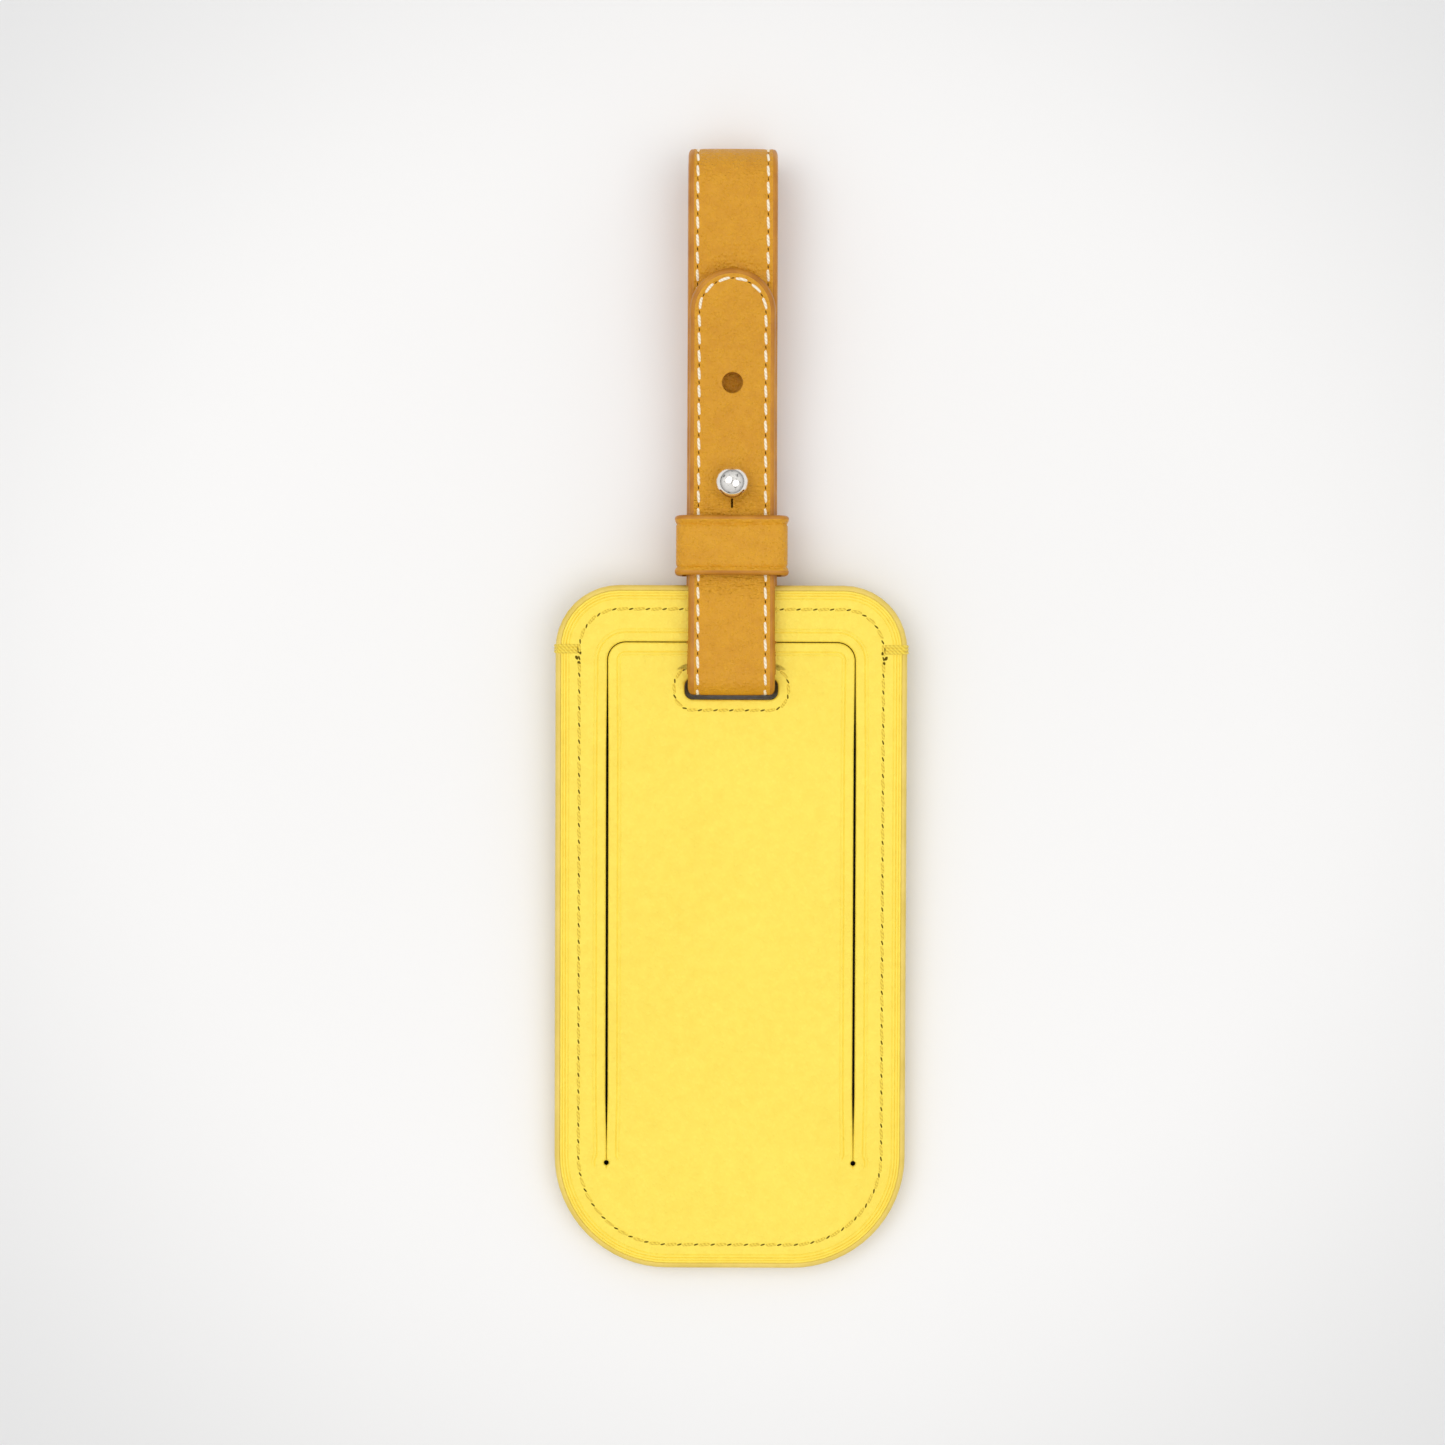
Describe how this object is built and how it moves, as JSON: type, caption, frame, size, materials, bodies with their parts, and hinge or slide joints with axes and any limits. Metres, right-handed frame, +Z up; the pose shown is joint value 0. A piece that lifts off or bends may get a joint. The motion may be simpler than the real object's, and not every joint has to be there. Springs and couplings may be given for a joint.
{
  "type": "luggage tag",
  "caption": "Flat leather luggage tag: a sewn card pocket behind a hinged flap, tied by a stitched strap loop with a ball stud and keeper.",
  "frame": {"origin": "bottom centre of the whole object's box, with the tag lying on its back and its strap straight out", "axes": "+X across the tag, +Y from the tag's foot towards the strap's fold, +Z up out of the tag's front"},
  "size_m": [0.061, 0.1916, 0.0159],
  "materials": {
    "yellow_leather": "smooth, soft sheen",
    "tan_leather": "fine pebble grain, soft sheen",
    "yellow_thread": "waxed thread",
    "cream_thread": "waxed thread",
    "polished_steel": "polished",
    "grey_board": "plain board",
    "clear_sheet": "clear flexible sheet",
    "card_paper": "uncoated",
    "lining_cloth": "plain weave"
  },
  "bodies": {
    "tag": {"back_panel": "yellow_leather", "stiffener_board": "grey_board", "window_sheet": "clear_sheet", "front_frame": "yellow_leather", "perimeter_thread": "yellow_thread", "back_slot_thread": "yellow_thread", "edge_wrap_left": "yellow_thread", "edge_wrap_right": "yellow_thread"},
    "flap": {"flap_leather": "yellow_leather", "flap_lining": "lining_cloth", "flap_slot_thread": "yellow_thread"},
    "card": {"address_card": "card_paper"},
    "strap_turn": {"turn_face": "tan_leather", "turn_lining": "tan_leather"},
    "strap_loop": {"strap_face": "tan_leather", "strap_lining": "tan_leather", "front_leg_face": "tan_leather", "front_leg_lining": "tan_leather", "strap_thread_left": "cream_thread", "strap_thread_right": "cream_thread", "front_leg_thread_left": "cream_thread", "front_leg_thread_right": "cream_thread", "stud": "polished_steel", "stud_screw": "polished_steel"},
    "strap_tip": {"tip_face": "tan_leather", "tip_lining": "tan_leather", "tip_thread": "cream_thread"},
    "keeper": {"keeper_band": "tan_leather", "keeper_staple": "polished_steel"}
  },
  "joints": [
    {"name": "strap_off", "type": "slide", "parent": "tag", "child": "strap_turn", "axis": [0, 1, 0], "range_m": [0, 0.042], "deforming": ["turn_face", "turn_lining"]},
    {"name": "flap_hinge", "type": "hinge", "parent": "tag", "child": "flap", "pos_m": [0, -0.07774, 0.00475], "axis": [1, 0, 0], "range_deg": [0, 150]},
    {"name": "card_slide", "type": "slide", "parent": "tag", "child": "card", "axis": [0, 0.9995, 0.0305], "range_m": [0, 0.003]},
    {"name": "strap_swing", "type": "hinge", "parent": "strap_turn", "child": "strap_loop", "pos_m": [0, 0.00355, 0], "axis": [0, 0, 1], "range_deg": [-3, 3]},
    {"name": "tip_lift", "type": "hinge", "parent": "strap_loop", "child": "strap_tip", "pos_m": [0, 0.0337, 0.0108], "axis": [1, 0, 0], "range_deg": [0, 90], "deforming": ["tip_face", "tip_lining"]},
    {"name": "keeper_slide", "type": "slide", "parent": "strap_loop", "child": "keeper", "axis": [0, 1, 0], "range_m": [-0.0006, 0.0004]}
  ],
  "couplings": [
    {"joint": "flap_hinge", "follows": "strap_off", "rad_per_m": 62.327}
  ]
}
